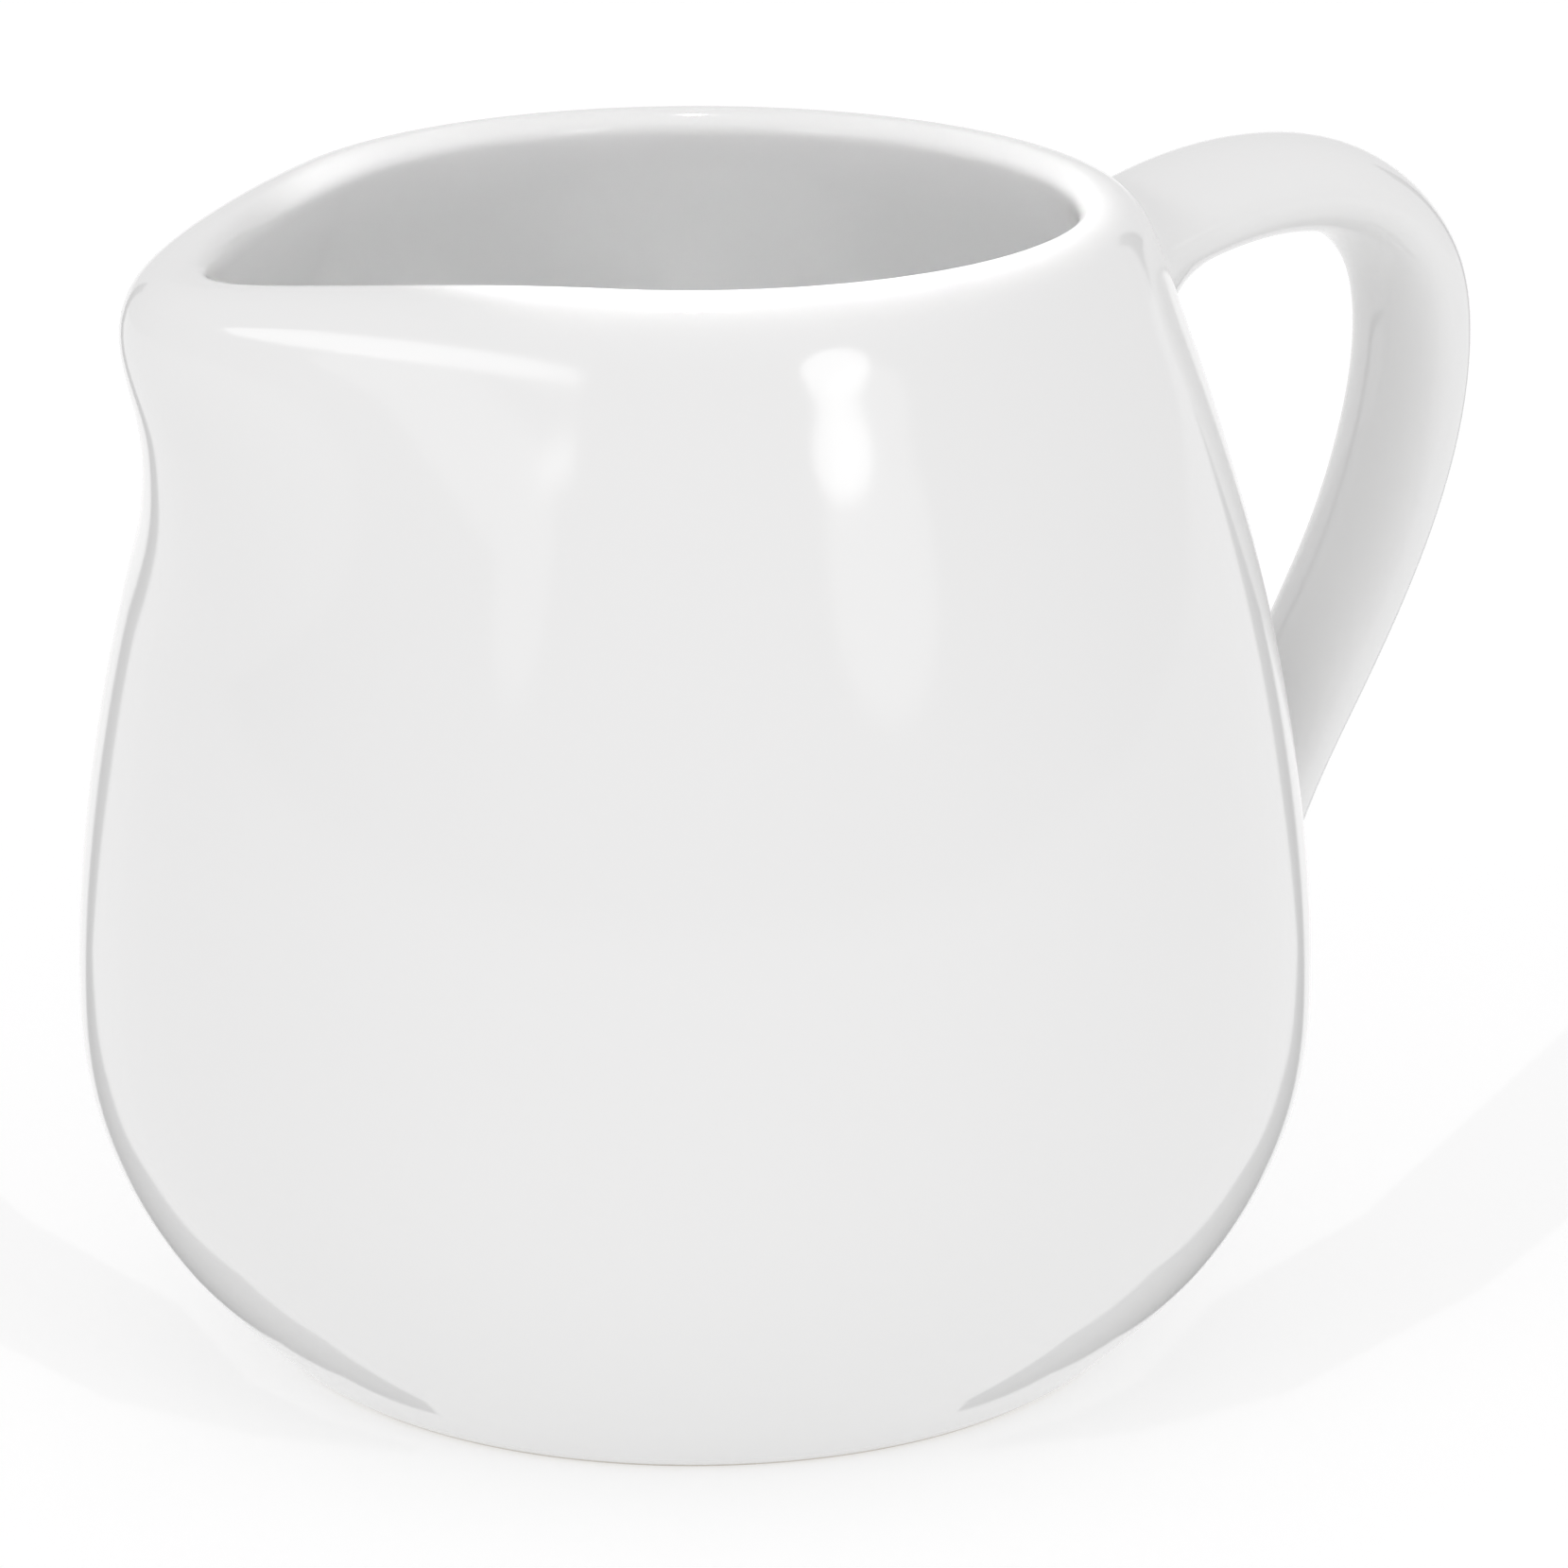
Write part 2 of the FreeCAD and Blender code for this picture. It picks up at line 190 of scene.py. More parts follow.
class Shader:
    """The node tree of a material or a world."""

    def __init__(self, owner):
        owner.use_nodes = True
        self.nodes, self.links = owner.node_tree.nodes, owner.node_tree.links
        self.nodes.clear()

    def node(self, kind, settings=None, *values, **named):
        """A node of this type: its settings first, then its sockets by order or by name."""
        made = self.nodes.new(kind)
        for name, value in (settings or {}).items():
            setattr(made, name, value)
        for key, value in [*enumerate(values), *named.items()]:
            target = made.inputs[key if isinstance(key, int) else key.replace("_", " ")]
            if isinstance(value, Socket):
                self.links.new(value.socket, target)
            elif isinstance(value, (tuple, list)) and target.type == "RGBA" and len(value) == 3:
                target.default_value = (*value, 1.0)
            else:
                target.default_value = value
        return Socket(self, next((out for out in made.outputs if out.enabled), None))

    def mix(self, share, first, second):
        mixed = self.nodes.new("ShaderNodeMix")
        mixed.data_type = "RGBA"
        for key, value in ((0, share), (6, first), (7, second)):
            if isinstance(value, Socket):
                self.links.new(value.socket, mixed.inputs[key])
            else:
                mixed.inputs[key].default_value = (*value, 1.0) if key else value
        return Socket(self, mixed.outputs[2])

    def step(self, value, low, high):
        """0 below low, 1 above high and a smooth rise between."""
        return self.node("ShaderNodeMapRange", {"interpolation_type": "SMOOTHSTEP"},
                         value, low, high, 0.0, 1.0)


# the glaze's textures: how far apart or across, how high, and how many, in millimetres and shares
CLOUD_SIZE = 26.0
RIPPLE_SIZE, RIPPLE_HEIGHT = 14.0, 0.030
PEEL_SIZE, PEEL_HEIGHT = 1.6, 0.0006
SMEAR_SIZE, SMEAR_RANGE = 9.0, 0.05
SPECK_SPACING, SPECK_SHARE, SPECK_DEPTH = 8.0, 0.35, 0.006
STAIN_SPACING, STAIN_RADIUS, STAIN_SHARE = 21.0, 0.8, 0.3
GLAZE_IOR = 1.5


def place(tree):
    """Where a point of the surface is, in millimetres."""
    spot = tree.node("ShaderNodeTexCoord").out("Object")
    return tree.node("ShaderNodeVectorMath", {"operation": "SCALE"}, spot, Scale=1 / MM)


def noise(tree, spot, size, detail=2.0, seed=0.0):
    """Soft noise from 0 to 1 with lumps about this many millimetres across."""
    shifted = tree.node("ShaderNodeVectorMath", {"operation": "ADD"}, spot, (seed, seed, seed))
    return tree.node("ShaderNodeTexNoise", {}, Vector=shifted, Scale=1 / size, Detail=detail)


def dots(tree, spot, spacing, radius, share):
    """Round dots in a share of the cells of a random grid, 1 inside and 0 outside."""
    cells = tree.node("ShaderNodeTexVoronoi", {}, Vector=spot, Scale=1 / spacing)
    draw = tree.node("ShaderNodeSeparateColor", {}, cells.out("Color"))
    size = draw.out("Green") * (radius / spacing)
    return (1 - tree.step(cells / (size + 1e-4), 0.7, 1.0)) * (draw.out("Red") < share)


def glaze_shader(tree, look, spot):
    """Glossy white glaze with faint tone shifts, sparse specks and the soft ripple of a dipped coat."""
    cloud = noise(tree, spot, CLOUD_SIZE)
    tone = tree.mix(cloud, [c * 0.985 for c in look.glaze], list(look.glaze))
    specks = dots(tree, spot, SPECK_SPACING, look.speck_size / MM, SPECK_SHARE)
    stains = dots(tree, spot, STAIN_SPACING, STAIN_RADIUS, STAIN_SHARE)
    tone = tree.mix(stains * 0.10, tone, list(look.speck))
    tone = tree.mix(specks * 0.55, tone, list(look.speck))
    rough = noise(tree, spot, SMEAR_SIZE, 3.0, 40.0) * SMEAR_RANGE + (look.gloss - SMEAR_RANGE / 2)
    ripple = noise(tree, spot, RIPPLE_SIZE, 1.0, 7.0) * RIPPLE_HEIGHT
    peel = noise(tree, spot, PEEL_SIZE, 2.0, 19.0) * PEEL_HEIGHT
    pits = specks * -SPECK_DEPTH
    bump = tree.node("ShaderNodeBump", {}, Strength=1.0, Distance=MM, Height=ripple + peel + pits)
    return tree.node("ShaderNodeBsdfPrincipled", {}, Base_Color=tone, Roughness=rough, Normal=bump,
                     IOR=GLAZE_IOR)


def biscuit_shader(tree, look, spot):
    """Bare fired clay: matt, finely grained, a little stained where it is handled."""
    grain = noise(tree, spot, 0.35, 4.0, 3.0)
    stain = noise(tree, spot, 6.0, 3.0, 11.0)
    tone = tree.mix(stain, [c * 0.88 for c in look.biscuit], list(look.biscuit))
    rough = grain * 0.15 + 0.75
    bump = tree.node("ShaderNodeBump", {}, Strength=1.0, Distance=MM, Height=grain * 0.03)
    return tree.node("ShaderNodeBsdfPrincipled", {}, Base_Color=tone, Roughness=rough, Normal=bump)


def finish_material(name, shade):
    material = bpy.data.materials.new(name)
    tree = Shader(material)
    tree.node("ShaderNodeOutputMaterial", {}, Surface=shade(tree))
    return material


def glaze_material():
    look = bpy.context.scene.pitcher_glaze
    return finish_material("white_glaze", lambda tree: glaze_shader(tree, look, place(tree)))


def foot_material():
    """Glaze down the side of the foot, wiped off where the pitcher stands."""
    look, sizes = bpy.context.scene.pitcher_glaze, bpy.context.scene.pitcher_vessel

    def shade(tree):
        spot = place(tree)
        height = tree.node("ShaderNodeSeparateXYZ", {}, spot).out("Z")
        wiped = sizes.foot_round / MM
        edge = height + noise(tree, spot, 2.5, 2.0, 5.0) * (0.5 * wiped)
        glazed = tree.step(edge, wiped, wiped * 1.3)
        return tree.node("ShaderNodeMixShader", {}, glazed, biscuit_shader(tree, look, spot),
                         glaze_shader(tree, look, spot))
    return finish_material("bare_foot", shade)


# ---------------------------------------------------------------------------- mesh helpers

def spline(knots, values, at):
    """The natural cubic spline through rows of values, read at these places."""
    count = len(knots)
    steps = np.diff(knots)[:, None]
    slopes = np.diff(values, axis=0) / steps
    system, right = np.eye(count), np.zeros_like(values)
    for row in range(1, count - 1):
        before, after = steps[row - 1, 0], steps[row, 0]
        system[row, row - 1:row + 2] = before, 2 * (before + after), after
        right[row] = 6 * (slopes[row] - slopes[row - 1])
    bends = np.linalg.solve(system, right)
    span = np.clip(np.searchsorted(knots, at, side="right") - 1, 0, count - 2)
    size, low = steps[span], (at - knots[span])[:, None]
    high = size - low
    return ((bends[span] * high ** 3 + bends[span + 1] * low ** 3) / (6 * size)
            + (values[span] / size - bends[span] * size / 6) * high
            + (values[span + 1] / size - bends[span + 1] * size / 6) * low)


def refine(rows, line, per_span):
    """Rows of values smoothed through, with the distances along this line as knots."""
    rows, line = np.array(rows), np.array(line)
    knots = np.concatenate([[0], np.cumsum(np.linalg.norm(np.diff(line, axis=0), axis=1))])
    places = [np.linspace(a, b, per_span, endpoint=False) for a, b in zip(knots, knots[1:])]
    return spline(knots, rows, np.concatenate([*places, [knots[-1]]]))


def ring_of(points, mesh):
    return [mesh.verts.new(point) for point in points]


def join_rings(mesh, lower, upper):
    """A band of faces between two rings with as many corners."""
    around = len(lower)
    for step in range(around):
        after = (step + 1) % around
        mesh.faces.new((lower[step], lower[after], upper[after], upper[step]))


def crease(mesh, ring):
    """Marks the edges round this ring as sharp."""
    for vert, after in zip(ring, ring[1:] + ring[:1]):
        mesh.edges.get((vert, after)).smooth = False


def link_mesh(name, mesh):
    """Makes an object of the scene out of this mesh."""
    data = bpy.data.meshes.new(name)
    mesh.to_mesh(data)
    mesh.free()
    made = bpy.data.objects.new(name, data)
    bpy.context.scene.collection.objects.link(made)
    return made


def link_smooth(name, mesh):
    bmesh.ops.recalc_face_normals(mesh, faces=mesh.faces)
    for face in mesh.faces:
        face.smooth = True
    return link_mesh(name, mesh)


def grid_mesh(name, rows, sharp=()):
    """A closed form through rows of points that run round it, with its two ends filled."""
    mesh = bmesh.new()
    rings = [ring_of(row, mesh) for row in rows]
    for lower, upper in zip(rings, rings[1:]):
        join_rings(mesh, lower, upper)
    for ring, flip in ((rings[0], True), (rings[-1], False)):
        middle = mesh.verts.new(sum((vert.co for vert in ring), Vector()) / len(ring))
        for vert, after in zip(ring, ring[1:] + ring[:1]):
            corner = (vert, after, middle)
            mesh.faces.new(corner[::-1] if flip else corner)
    for number in sharp:
        crease(mesh, rings[number])
    return link_smooth(name, mesh)


def add_piece(made, material, slot, *nodes):
    """Gives a piece its finish, hangs it under the root and hides the solid parts that it stands for."""
    made.data.materials.append(material)
    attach(made, "root")
    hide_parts(*nodes)
    return made


# ---------------------------------------------------------------------------- the vessel's form

def polar(middle, radius, turn):
    return middle[0] + radius * math.cos(turn), middle[1] + radius * math.sin(turn)


def shoulder(sizes):
    middle = (sizes.crest_radius, sizes.rim_height - sizes.lip_radius)
    return polar(middle, sizes.lip_radius, sizes.rim_lean)


def wall_radius(sizes, height):
    """The outer radius of the round wall at this height."""
    belly, level = sizes.belly_radius, sizes.belly_height
    if height <= level:
        return belly - (belly - sizes.foot_radius) * ((level - height) / level) ** sizes.lower_curve
    top_radius, top = shoulder(sizes)
    curve = math.tan(sizes.rim_lean) * (top - level) / (belly - top_radius)
    return belly - (belly - top_radius) * ((height - level) / (top - level)) ** curve


def wall_lean(sizes, height):
    step = 0.01 * MM
    rise = wall_radius(sizes, height - step) - wall_radius(sizes, height + step)
    return math.atan(rise / (2 * step))


def spout_bulge(sizes, height):
    """How far the spout stands out of the round wall."""
    top, root = sizes.spout_reach_height, sizes.spout_root
    share = min(max((height - root) / (top - root), 0.0), 1.0)
    return (sizes.spout_reach - wall_radius(sizes, top)) * share ** sizes.spout_flare


def spout_fall(sizes, height):
    share = (height - sizes.spout_root) / (sizes.rim_height - sizes.spout_root)
    share = min(max(share, 0.0), 1.0)
    return sizes.spout_dip * share * share * (3 - 2 * share)


def wall_heights(sizes):
    foot, belly, root = sizes.foot_height, sizes.belly_height, sizes.spout_root
    top = shoulder(sizes)[1]
    lower = [belly - (belly - foot) * (1 - step / 5) ** 1.3 for step in range(5)]
    middle = [belly + (root - belly) * step / 4 for step in range(4)]
    return lower + middle + [root + (top - root) * step / 5 for step in range(6)]


def vessel_levels(sizes):
    """Each level as (round radius, spout's bulge, height, spout's fall), out, over the lip and in."""
    heights = wall_heights(sizes)
    levels = [(wall_radius(sizes, z), spout_bulge(sizes, z), z, spout_fall(sizes, z)) for z in heights]
    crest, rim, lean = sizes.crest_radius, sizes.rim_height, sizes.rim_lean
    bulge = spout_bulge(sizes, rim)
    for degrees in (45, 68, 90):
        radius, height = polar((crest, rim - sizes.lip_radius), sizes.lip_radius, math.radians(degrees))
        levels.append((radius, bulge, height, sizes.spout_dip))
    slant = math.sin(lean)
    inner = (sizes.wall - sizes.lip_radius * (1 - slant)) / (1 + slant)
    channel = sizes.spout_channel
    for turn in (math.radians(125), math.radians(160), math.pi + lean):
        radius, height = polar((crest, rim - inner), inner, turn)
        levels.append((radius, bulge * channel, height, sizes.spout_dip))
    for height in reversed(heights[1:-1]):
        lean_here = wall_lean(sizes, height)
        radius = wall_radius(sizes, height) - sizes.wall * math.cos(lean_here)
        levels.append((radius, spout_bulge(sizes, height) * channel,
                       height - sizes.wall * math.sin(lean_here), spout_fall(sizes, height)))
    levels.append((sizes.floor_radius, 0.0, sizes.floor_height, 0.0))
    return levels


def level_ring(level, flank, around):
    """The points of one level: round, with straight flanks that meet in a blunt nose at the spout."""
    radius, bulge, height, fall = level
    bulge = max(bulge, 0.0)
    nose = flank - math.acos(radius / (radius + bulge))
    points = []
    for step in range(around):
        turn = 2 * math.pi * step / around
        off_spout = math.remainder(turn - math.pi, 2 * math.pi)
        reach = radius / math.cos(max(0.0, flank - math.hypot(off_spout, nose)))
        share = (reach - radius) / bulge if bulge > 1e-9 else 0.0
        points.append((reach * math.cos(turn), reach * math.sin(turn), height - fall * share))
    return points


def fine_levels(sizes, per_span):
    levels = vessel_levels(sizes)
    return refine(levels, [(radius + bulge / 2, height) for radius, bulge, height, _ in levels], per_span)


# ---------------------------------------------------------------------------- the handle's form

def strap_stations(sizes, vessel):
    """The strap as (x, z, angle of travel, width, thickness), from inside the rim to inside the belly."""
    out_x = vessel.belly_radius + sizes.reach
    top_x, top_z = out_x - sizes.bend_radius, vessel.rim_height - sizes.crown_drop
    run = top_x - (wall_radius(vessel, top_z - sizes.crown_rise) - vessel.wall / 2)
    crown = (run * run + sizes.crown_rise ** 2) / (2 * sizes.crown_rise)
    start = 2 * math.atan(sizes.crown_rise / run)
    line = [(top_x - crown * math.sin(turn), top_z - crown * (1 - math.cos(turn)), turn)
            for turn in (start, start / 2)]
    bend, back = sizes.bend_radius, sizes.back_radius
    for step in range(5):
        turn = math.pi / 2 * step / 4
        line.append((top_x + bend * math.sin(turn), top_z - bend * (1 - math.cos(turn)), -turn))
    heel_x = vessel.belly_radius + sizes.heel_standoff
    heel_z = sizes.heel_height + sizes.heel_rise
    arc_x, arc_z = out_x - back, top_z - bend
    far = math.hypot(heel_x - arc_x, arc_z - heel_z)
    lean = math.atan2(arc_z - heel_z, heel_x - arc_x) - math.acos(back / far)
    for turn in (lean / 2, lean):
        line.append((arc_x + back * math.cos(turn), arc_z - back * math.sin(turn), -math.pi / 2 - turn))
    end_x, end_z, travel = line[-1]
    line.append(((end_x + heel_x) / 2, (end_z + heel_z) / 2, travel))
    line.append((heel_x, heel_z, travel))
    stations = []
    for number, spot in enumerate(line):
        share = number / (len(line) - 1)
        width = sizes.width + (sizes.end_width - sizes.width) * share
        thickness = sizes.thickness + (sizes.end_thickness - sizes.thickness) * share
        stations.append((*spot, width, thickness))
    heel = (vessel.belly_radius - vessel.wall / 2, sizes.heel_height, -math.pi)
    return stations + [(*heel, sizes.heel_width, sizes.heel_length)]


def strap_lines(sizes, vessel, around, per_span):
    """Points of the strap's skin and its outward directions, as arrays [along][around][xyz]."""
    stations = strap_stations(sizes, vessel)
    rows = refine(stations, [station[:2] for station in stations], per_span)
    x, z, travel, width, thickness = (column[:, None] for column in rows.T)
    turn = np.linspace(0, 2 * math.pi, around, endpoint=False)[None, :]
    flat = np.zeros((len(rows), around))
    upper = (-np.sin(travel), np.cos(travel))
    side, rise = width / 2 * np.cos(turn), thickness / 2 * np.sin(turn)
    skin = np.stack([x + upper[0] * rise, side, z + upper[1] * rise], axis=2)
    out_side, out_rise = np.cos(turn) / width, np.sin(turn) / thickness
    outward = np.stack([upper[0] * out_rise, out_side + flat, upper[1] * out_rise], axis=2)
    return skin, outward / np.linalg.norm(outward, axis=2, keepdims=True)


class Wall:
    """The round outer wall, as the handle meets it."""

    def __init__(self, sizes):
        levels = fine_levels(sizes, 8)
        outside = levels[:np.argmax(levels[:, 2])]
        self.heights, self.radii = outside[:, 2], outside[:, 0]

    def radius(self, height):
        return np.interp(height, self.heights, self.radii)

    def clearance(self, point):
        return math.hypot(point[0], point[1]) - self.radius(point[2])

    def on(self, point, sink=0.0):
        """The point of the wall at this point's height and turn, moved this far inwards."""
        scale = (self.radius(point[2]) - sink) / math.hypot(point[0], point[1])
        return np.array((point[0] * scale, point[1] * scale, point[2]))

    def normal(self, point):
        step = 0.05 * MM
        slope = (self.radius(point[2] + step) - self.radius(point[2] - step)) / (2 * step)
        flat = math.hypot(point[0], point[1])
        normal = np.array((point[0] / flat, point[1] / flat, -slope))
        return normal / np.linalg.norm(normal)


def fillet(wall, line, outward, radius, steps):
    """One strand of slip from under the wall's skin to the strap, and where it meets the strap."""
    lengths = np.concatenate([[0], np.cumsum(np.linalg.norm(np.diff(line, axis=0), axis=1))])
    clear = np.array([wall.clearance(point) for point in line])
    after = int(np.argmax(clear > 0))
    share = -clear[after - 1] / (clear[after] - clear[after - 1])
    meet = lengths[after - 1] + share * (lengths[after] - lengths[after - 1])

    def at(distance):
        return np.array([np.interp(distance, lengths, line[:, axis]) for axis in range(3)])

    corner = at(meet)
    normal = wall.normal(corner)
    away = outward[after] - normal * np.dot(outward[after], normal)
    away /= np.linalg.norm(away)
    along = at(meet + 0.5 * radius) - corner
    opening = math.acos(np.clip(np.dot(along / np.linalg.norm(along), away), -1.0, 1.0))
    reach = radius * min(max(1 / math.tan(opening / 2), 0.5), 2.6)
    on_wall, on_strap = wall.on(corner + away * reach, 0.01 * MM), at(meet + reach)
    strand = [wall.on(corner + away * (reach + 1.2 * MM), 0.06 * MM)]
    for step in range(steps):
        part = step / steps
        strand.append(on_wall * (1 - part) ** 2 + corner * 2 * part * (1 - part) + on_strap * part ** 2)
    return strand, meet + reach, at, lengths[-1]


def handle_rows(sizes, vessel, around=72, per_span=10, steps=10, rows=110):
    """The skin of the strap with the slip that runs out from both its ends onto the wall."""
    wall = Wall(vessel)
    skin, outward = strap_lines(sizes, vessel, around, per_span)
    columns = []
    for column in range(around):
        line, facing = skin[:, column], outward[:, column]
        under = max(0.0, -math.sin(2 * math.pi * column / around)) ** 1.5
        root = sizes.upper_slip + (sizes.root_slip - sizes.upper_slip) * under
        upper, first, at, total = fillet(wall, line, facing, root, steps)
        lower, last, _, _ = fillet(wall, line[::-1], facing[::-1], sizes.lower_slip, steps)
        strap = [at(distance) for distance in np.linspace(first, total - last, rows)]
        columns.append(upper + strap + lower[::-1])
    return [list(row) for row in zip(*columns)]


# ---------------------------------------------------------------------------- operators

# corners round the vessel and the foot, and rows between two levels of the vessel
VESSEL_AROUND = 240
VESSEL_PER_SPAN = 5


class PITCHER_OT_body(bpy.types.Operator):
    """Builds the glazed vessel with its spout, lip and inside"""
    bl_idname = "pitcher.body"
    bl_label = "Body"

    def execute(self, context):
        sizes = context.scene.pitcher_vessel
        rows = [level_ring(level, sizes.spout_flank, VESSEL_AROUND)
                for level in fine_levels(sizes, VESSEL_PER_SPAN)]
        body = grid_mesh("glazed_body", rows, sharp=(0,))
        add_piece(body, glaze_material(), "white_glaze", "body")
        return {"FINISHED"}


class PITCHER_OT_handle(bpy.types.Operator):
    """Builds the strap handle with the slip round its two joints"""
    bl_idname = "pitcher.handle"
    bl_label = "Handle"

    def execute(self, context):
        rows = handle_rows(context.scene.pitcher_handle, context.scene.pitcher_vessel)
        handle = grid_mesh("glazed_handle", rows)
        add_piece(handle, glaze_material(), "white_glaze",
                  "handle", "upper_slip_joint", "lower_slip_joint")
        return {"FINISHED"}


class PITCHER_OT_foot(bpy.types.Operator):
    """Builds the foot ring, bare where it stands"""
    bl_idname = "pitcher.foot"
    bl_label = "Foot"

    def execute(self, context):
        sizes = context.scene.pitcher_vessel
        soft, height = sizes.foot_round, sizes.foot_height
        inner, outer = sizes.foot_radius - sizes.foot_width, sizes.foot_radius
        top = wall_radius(sizes, height)
        profile = [(inner, height), (inner, soft)]
        profile += [(inner + soft * (1 - math.cos(turn)), soft * (1 - math.sin(turn)))
                    for turn in np.linspace(0.2, math.pi / 2, 5)]
        profile += [(outer - soft * (1 - math.sin(turn)), soft * (1 - math.cos(turn)))
                    for turn in np.linspace(0, math.pi / 4, 5)]
        profile += [(top, height)]
        rows = [[(radius * math.cos(turn), radius * math.sin(turn), level)
                 for turn in np.linspace(0, 2 * math.pi, VESSEL_AROUND, endpoint=False)]
                for radius, level in profile]
        mesh = bmesh.new()
        rings = [ring_of(row, mesh) for row in rows]
        for lower, upper in zip(rings, rings[1:] + rings[:1]):
            join_rings(mesh, lower, upper)
        for ring in (rings[0], rings[-1]):
            crease(mesh, ring)
        foot = link_smooth("foot", mesh)
        add_piece(foot, foot_material(), "bare_biscuit", "foot_ring")
        return {"FINISHED"}


def soft_light(name, turn, rise, distance, size, power, aim):
    """An area light at this turn and rise from the middle of the pitcher, facing it."""
    lamp = bpy.data.lights.new(name, "AREA")
    lamp.shape, lamp.size, lamp.size_y, lamp.energy = "ELLIPSE", size[0], size[1], power
    made = bpy.data.objects.new(name, lamp)
    away = Vector((math.sin(turn) * math.cos(rise), -math.cos(turn) * math.cos(rise), math.sin(rise)))
    made.location = aim + away * distance
    made.rotation_euler = (-away).to_track_quat("-Z", "Y").to_euler()
    bpy.context.scene.collection.objects.link(made)
    return made


# a dark card's edges, from in front of the foot to behind the pitcher, as shares of the belly radius.
# It is painted shadow: the shape of the pitcher's shadows on the floor, which the glaze reflects as dark
# strips along its sides. Each row is (out to the side, away from the camera) for its near and its far edge
PAINTED_SHADOW_EDGES = (
    ((0.43, -0.60), (0.46, -0.61)),
    ((0.60, -0.47), (0.70, -0.54)),
    ((0.72, -0.32), (0.95, -0.38)),
    ((0.86, 0.03), (1.30, 0.06)),
    ((1.14, 0.42), (1.66, 0.70)),
    ((1.80, 1.80), (2.08, 1.75)),
    ((2.60, 3.50), (3.40, 3.50)),
)
PAINTED_SHADOW_HEIGHT = 3.2
PAINTED_SHADOW_LIFT = 0.2 * MM

FLOOR_RADIUS = 4.0
ROOM_COLOUR = (0.995, 0.99, 0.995)

# soft boxes in front, left and right of the camera:
# name, turn from the camera and rise in degrees, width and height in metres, power in watts
SOFT_BOX_DISTANCE = 1.0
SOFT_BOXES = (
    ("left_box", -43, 27, (0.54, 0.16), 0.64),
    ("left_glow", -36, 18, (0.20, 0.24), 0.08),
    ("right_box", 35, 27, (0.27, 0.18), 0.46),
    ("right_glow", 40, 18, (0.40, 0.30), 0.26),
)

# a small lamp over the mouth, which lights the inside
MOUTH_LAMP_RISE = math.radians(87)
MOUTH_LAMP_SPREAD = math.radians(8)
MOUTH_LAMP_DISTANCE = 0.30
MOUTH_LAMP_SIZE = (0.02, 0.02)
MOUTH_LAMP_POWER = 0.12

# where the camera looks, from the middle of the pitcher's height
AIM_LIFT = 0.35 * MM
AIM_RIGHT = 5.75 * MM
AIM_DOWN = 1.67 * MM


def painted_shadow_card(side, view, ground, brightness):
    """A dark card that lies beside the pitcher and stands up behind it, seen only in the glaze: a painted
    shadow, which stands in for the pitcher's shadow on the floor and shows in the glaze as a dark strip.
    """
    right = Vector((math.cos(view), math.sin(view), 0)) * side
    ahead = Vector((-math.sin(view), math.cos(view), 0))
    belly = BODY_HIGH.y
    mesh = bmesh.new()
    rows = [[(right * out + ahead * away) * belly + Vector((0, 0, ground + PAINTED_SHADOW_LIFT))
             for out, away in pair]
            for pair in PAINTED_SHADOW_EDGES]
    rows.append([point + Vector((0, 0, PAINTED_SHADOW_HEIGHT * belly)) for point in rows[-1]])
    pairs = [ring_of(row, mesh) for row in rows]
    for (near, far), (near_after, far_after) in zip(pairs, pairs[1:]):
        mesh.faces.new((near, far, far_after, near_after))
    card = link_mesh("painted_shadow_card", mesh)
    # painted shadow: a dim grey glow that is hidden from the camera, from diffuse light and from shadows, so
    # it shows only in the glaze
    card.data.materials.append(finish_material("painted_shadow_grey", lambda tree: tree.node(
        "ShaderNodeEmission", {}, (1.0, 1.0, 1.0), brightness)))
    card.visible_camera = card.visible_diffuse = card.visible_shadow = False


def pale_floor(look):
    mesh = bmesh.new()
    bmesh.ops.create_circle(mesh, cap_ends=True, segments=96, radius=FLOOR_RADIUS)
    floor = link_mesh("floor", mesh)
    floor.location.z = CAD_BOX[0][2]
    floor.data.materials.append(finish_material("pale_floor", lambda tree: tree.node(
        "ShaderNodeBsdfPrincipled", {}, Base_Color=list(look.floor), Roughness=0.6,
        Emission_Color=(1.0, 1.0, 1.0), Emission_Strength=look.floor_glow)))


def room(look):
    """A plain white room that gets brighter overhead."""
    world = bpy.data.worlds.new("room")
    bpy.context.scene.world = world
    tree = Shader(world)
    height = tree.node("ShaderNodeSeparateXYZ", {}, tree.node("ShaderNodeTexCoord").out("Generated"))
    rise = tree.step(height.out("Z"), 0.2, 1.0)
    glow = rise * (look.zenith - look.horizon) + look.horizon
    tree.node("ShaderNodeOutputWorld", {}, Surface=tree.node(
        "ShaderNodeBackground", {}, ROOM_COLOUR, glow))


def lights(look, middle):
    view = look.view_turn
    for name, turn, rise, size, power in SOFT_BOXES:
        soft_light(name, view + math.radians(turn), math.radians(rise), SOFT_BOX_DISTANCE, size, power,
                   middle)
    mouth = soft_light("mouth_lamp", view, MOUTH_LAMP_RISE, MOUTH_LAMP_DISTANCE, MOUTH_LAMP_SIZE,
                       MOUTH_LAMP_POWER, middle)
    mouth.data.spread = MOUTH_LAMP_SPREAD
    # a painted shadow card on each side, in place of the pitcher's shadows on the floor as the glaze
    # reflects them
    for side in (-1, 1):
        painted_shadow_card(side, view, CAD_BOX[0][2], look.flag)


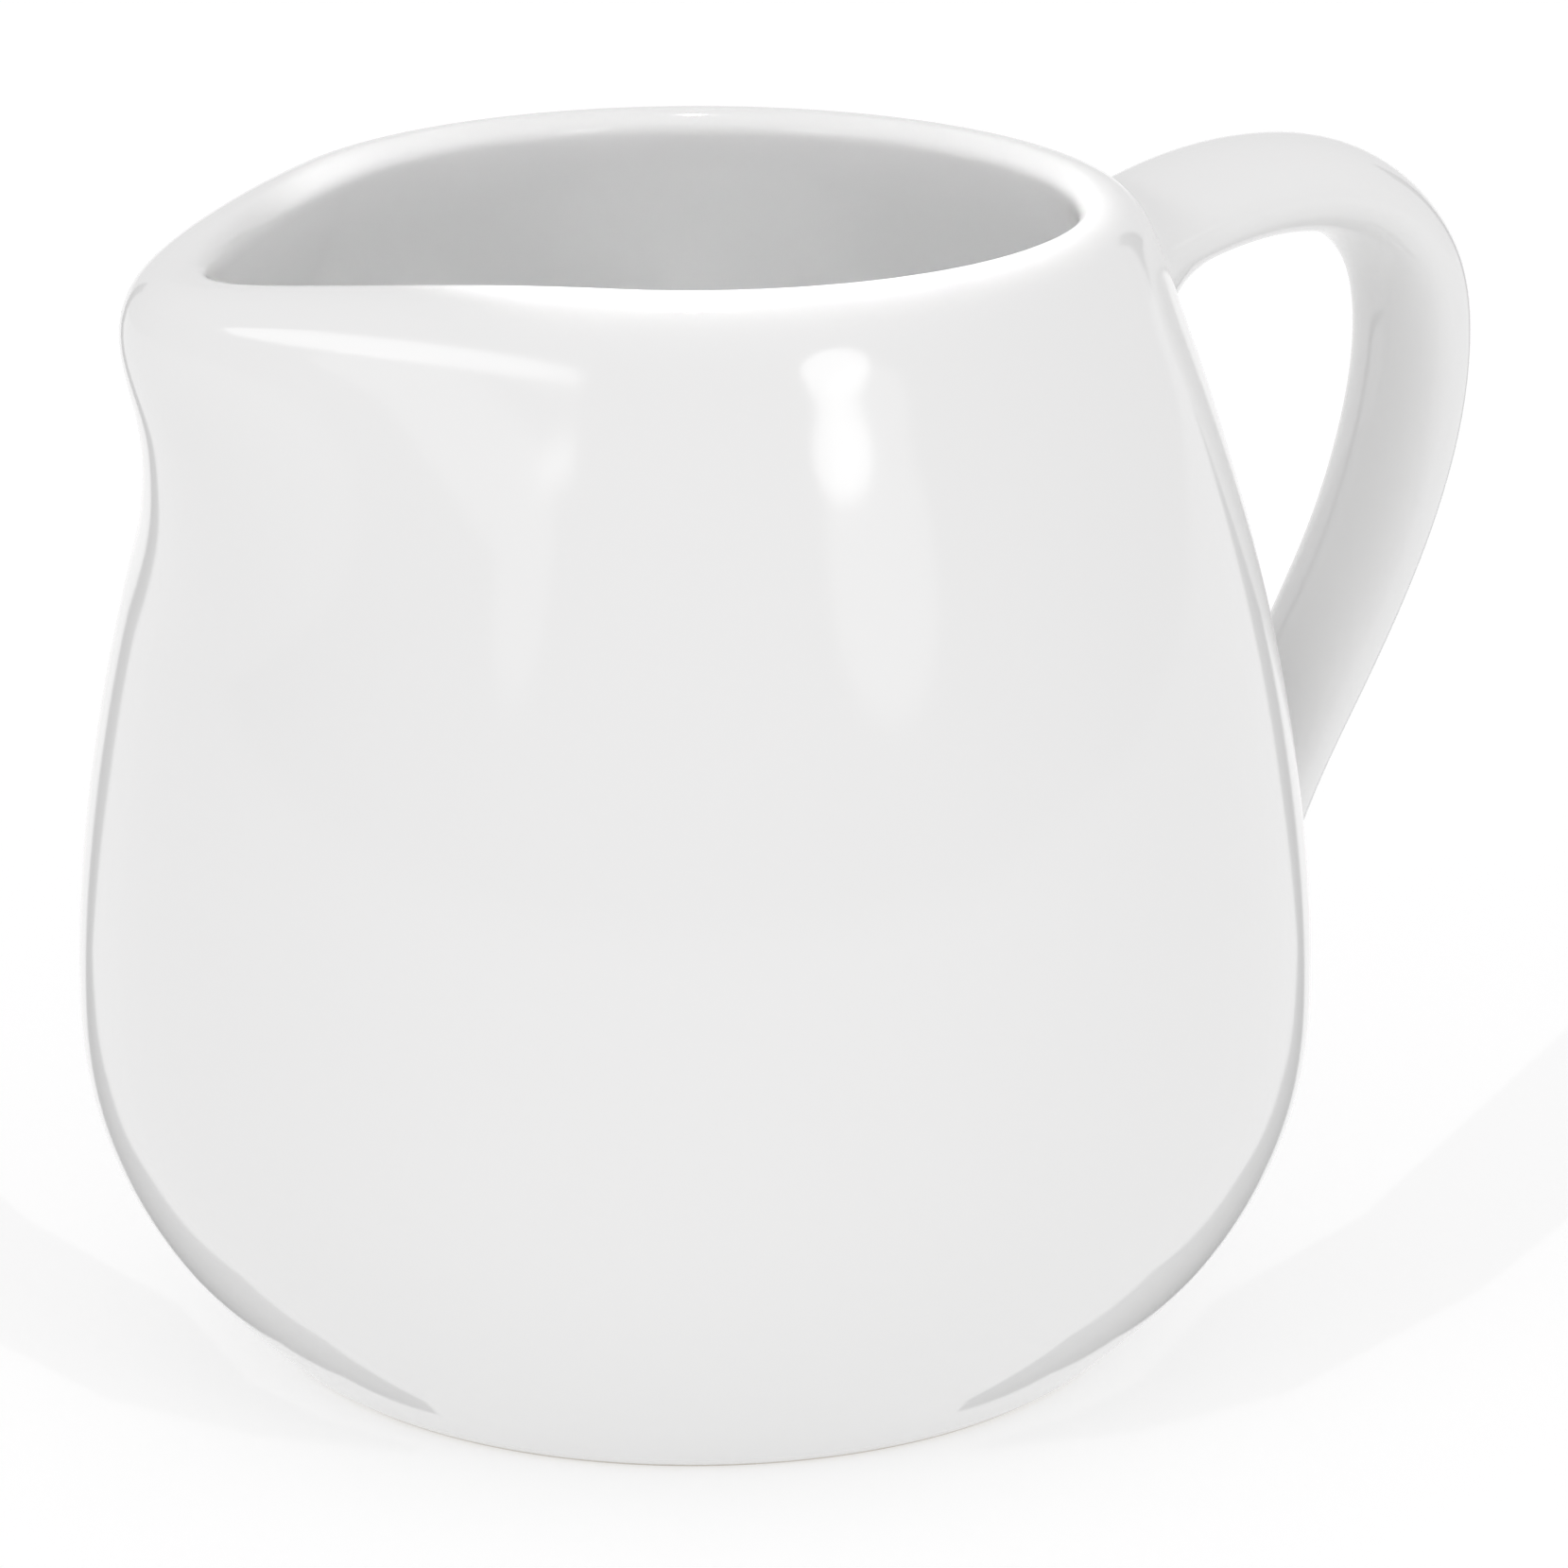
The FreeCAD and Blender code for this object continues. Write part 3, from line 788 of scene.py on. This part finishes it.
def studio_camera(look, middle):
    """The camera, which looks a little to the handle's side of the pitcher and a little low."""
    view = look.view_turn
    lens = bpy.data.cameras.new("camera")
    lens.lens, lens.clip_start, lens.clip_end = look.lens, 0.01, 20.0
    camera = bpy.data.objects.new("camera", lens)
    ahead = Vector((-math.sin(view) * math.cos(look.view_rise),
                    math.cos(view) * math.cos(look.view_rise), -math.sin(look.view_rise)))
    right = Vector((math.cos(view), math.sin(view), 0))
    above = right.cross(ahead)
    aim = middle + Vector((0, 0, AIM_LIFT))
    camera.location = aim - ahead * look.view_distance
    target = aim + right * AIM_RIGHT - above * AIM_DOWN
    sight = (target - camera.location).normalized()
    right = sight.cross(Vector((0, 0, 1))).normalized()
    camera.matrix_world = Matrix.Translation(camera.location) @ Matrix(
        (right, right.cross(sight), -sight)).transposed().to_4x4()
    bpy.context.scene.collection.objects.link(camera)
    bpy.context.scene.camera = camera


class PITCHER_OT_stage(bpy.types.Operator):
    """Sets out the pale floor, the soft lights, the room and the camera"""
    bl_idname = "pitcher.stage"
    bl_label = "Stage"

    def execute(self, context):
        look = context.scene.pitcher_studio
        middle = Vector((0, 0, (CAD_BOX[0][2] + CAD_BOX[1][2]) / 2))
        pale_floor(look)
        room(look)
        lights(look, middle)
        studio_camera(look, middle)
        context.scene.view_settings.view_transform = "Standard"
        return {"FINISHED"}


class PITCHER_PT_panel(bpy.types.Panel):
    """Lists what builds the pitcher"""
    bl_idname = "PITCHER_PT_panel"
    bl_label = "Pitcher"
    bl_space_type = "VIEW_3D"
    bl_region_type = "UI"
    bl_category = "Pitcher"

    def draw(self, context):
        for operator in OPERATORS:
            self.layout.operator(operator.bl_idname)
        for group in (context.scene.pitcher_vessel, context.scene.pitcher_handle,
                      context.scene.pitcher_glaze, context.scene.pitcher_studio):
            box = self.layout.box()
            for name in group.__annotations__:
                box.prop(group, name)


OPERATORS = (PITCHER_OT_body, PITCHER_OT_handle, PITCHER_OT_foot, PITCHER_OT_stage)
GROUPS = {
    "pitcher_vessel": VesselSizes,
    "pitcher_handle": HandleSizes,
    "pitcher_glaze": GlazeLook,
    "pitcher_studio": StudioLook,
}


def register():
    for group in GROUPS.values():
        bpy.utils.register_class(group)
    for name, group in GROUPS.items():
        setattr(bpy.types.Scene, name, bpy.props.PointerProperty(type=group))
    for kind in (*OPERATORS, PITCHER_PT_panel):
        bpy.utils.register_class(kind)


def unregister():
    for kind in (PITCHER_PT_panel, *reversed(OPERATORS)):
        bpy.utils.unregister_class(kind)
    for name in GROUPS:
        delattr(bpy.types.Scene, name)
    for group in GROUPS.values():
        bpy.utils.unregister_class(group)


def main():
    register()
    bpy.ops.pitcher.body()
    bpy.ops.pitcher.handle()
    bpy.ops.pitcher.foot()
    bpy.ops.pitcher.stage()


if __name__ == "__main__":
    main()
